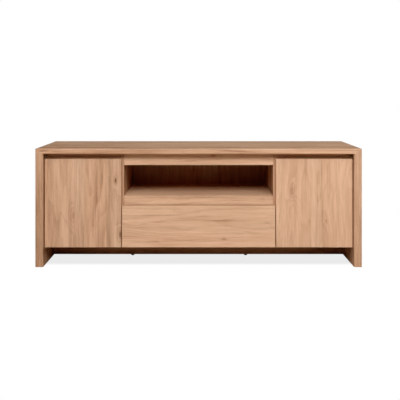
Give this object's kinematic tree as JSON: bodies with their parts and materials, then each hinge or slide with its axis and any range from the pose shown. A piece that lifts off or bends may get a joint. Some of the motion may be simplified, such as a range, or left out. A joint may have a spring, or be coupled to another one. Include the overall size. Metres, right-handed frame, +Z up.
{
  "type": "tv stand with doors",
  "caption": "Low wooden media cabinet with a mitred waterfall frame, pivot doors at both ends, an open niche over a wide drawer, and a set-back beam on levelling feet.",
  "frame": {"origin": "centre of the footprint, on the floor", "axes": "+Z up, the fronts face -Y, +X to the right of someone facing the fronts"},
  "size_m": [1.5, 0.45, 0.545],
  "materials": {
    "frame_wood": "matt oiled",
    "front_wood": "matt oiled",
    "carcass_wood": "matt oiled",
    "back_board": "matt",
    "drawer_wood": "matt",
    "dowel_wood": "matt",
    "bronze": "satin",
    "steel": "zinc plated",
    "brass": "satin",
    "white_plastic": "matt",
    "black_plastic": "matt",
    "rubber": "matt",
    "felt": "felt"
  },
  "bodies": {
    "cabinet": {"top_panel": "frame_wood", "left_side_panel": "frame_wood", "right_side_panel": "frame_wood", "mitre_dowels": "dowel_wood", "bottom_panel": "carcass_wood", "left_divider": "carcass_wood", "right_divider": "carcass_wood", "niche_shelf": "carcass_wood", "niche_shelf_rail": "carcass_wood", "niche_top_rail": "carcass_wood", "left_top_stretcher": "carcass_wood", "right_top_stretcher": "carcass_wood", "left_rear_cleat": "carcass_wood", "centre_rear_cleat": "carcass_wood", "right_rear_cleat": "carcass_wood", "carcass_dowels": "dowel_wood", "left_back_panel": "back_board", "centre_back_panel": "back_board", "right_back_panel": "back_board", "back_panel_screws": "steel", "support_beam": "carcass_wood", "foot_inserts": "brass", "floor_pads": "felt", "left_inner_shelf": "carcass_wood", "right_inner_shelf": "carcass_wood", "left_shelf_pins": "steel", "right_shelf_pins": "steel", "left_upper_pivot": "bronze", "right_upper_pivot": "bronze", "left_lower_pivot": "bronze", "right_lower_pivot": "bronze", "left_thrust_washer": "black_plastic", "right_thrust_washer": "black_plastic", "pivot_screws": "steel", "left_magnetic_catch": "white_plastic", "right_magnetic_catch": "white_plastic", "front_bumpers": "rubber", "left_cabinet_runner": "steel", "right_cabinet_runner": "steel", "runner_screws": "steel"},
    "left_door": {"left_door_panel": "front_wood", "left_door_bushes": "brass", "left_strike_plate": "steel"},
    "right_door": {"right_door_panel": "front_wood", "right_door_bushes": "brass", "right_strike_plate": "steel"},
    "drawer": {"drawer_front": "front_wood", "drawer_inner_front": "drawer_wood", "drawer_left_side": "drawer_wood", "drawer_right_side": "drawer_wood", "drawer_back": "drawer_wood", "drawer_bottom": "drawer_wood", "drawer_screws": "steel", "left_drawer_runner": "steel", "right_drawer_runner": "steel"},
    "runner_middles": {"left_middle_runner": "steel", "right_middle_runner": "steel"},
    "left_foot": {"left_levelling_foot": "black_plastic"},
    "right_foot": {"right_levelling_foot": "black_plastic"}
  },
  "joints": [
    {"name": "left_door_hinge", "type": "hinge", "parent": "cabinet", "child": "left_door", "pos_m": [-0.705, -0.201, 0.3], "axis": [0, 0, -1], "range_deg": [0, 95]},
    {"name": "right_door_hinge", "type": "hinge", "parent": "cabinet", "child": "right_door", "pos_m": [0.705, -0.201, 0.3], "axis": [0, 0, 1], "range_deg": [0, 95]},
    {"name": "drawer_slide", "type": "slide", "parent": "cabinet", "child": "drawer", "axis": [0, -1, 0], "range_m": [0, 0.35]},
    {"name": "runner_slide", "type": "slide", "parent": "cabinet", "child": "runner_middles", "axis": [0, -1, 0], "range_m": [0, 0.175]},
    {"name": "left_foot_turn", "type": "hinge", "parent": "cabinet", "child": "left_foot", "pos_m": [-0.325, 0.0125, 0.02], "axis": [0, 0, 1], "continuous": true},
    {"name": "right_foot_turn", "type": "hinge", "parent": "cabinet", "child": "right_foot", "pos_m": [0.232, 0.0125, 0.02], "axis": [0, 0, 1], "continuous": true}
  ],
  "couplings": [
    {"joint": "runner_slide", "follows": "drawer_slide", "ratio": 0.5}
  ]
}
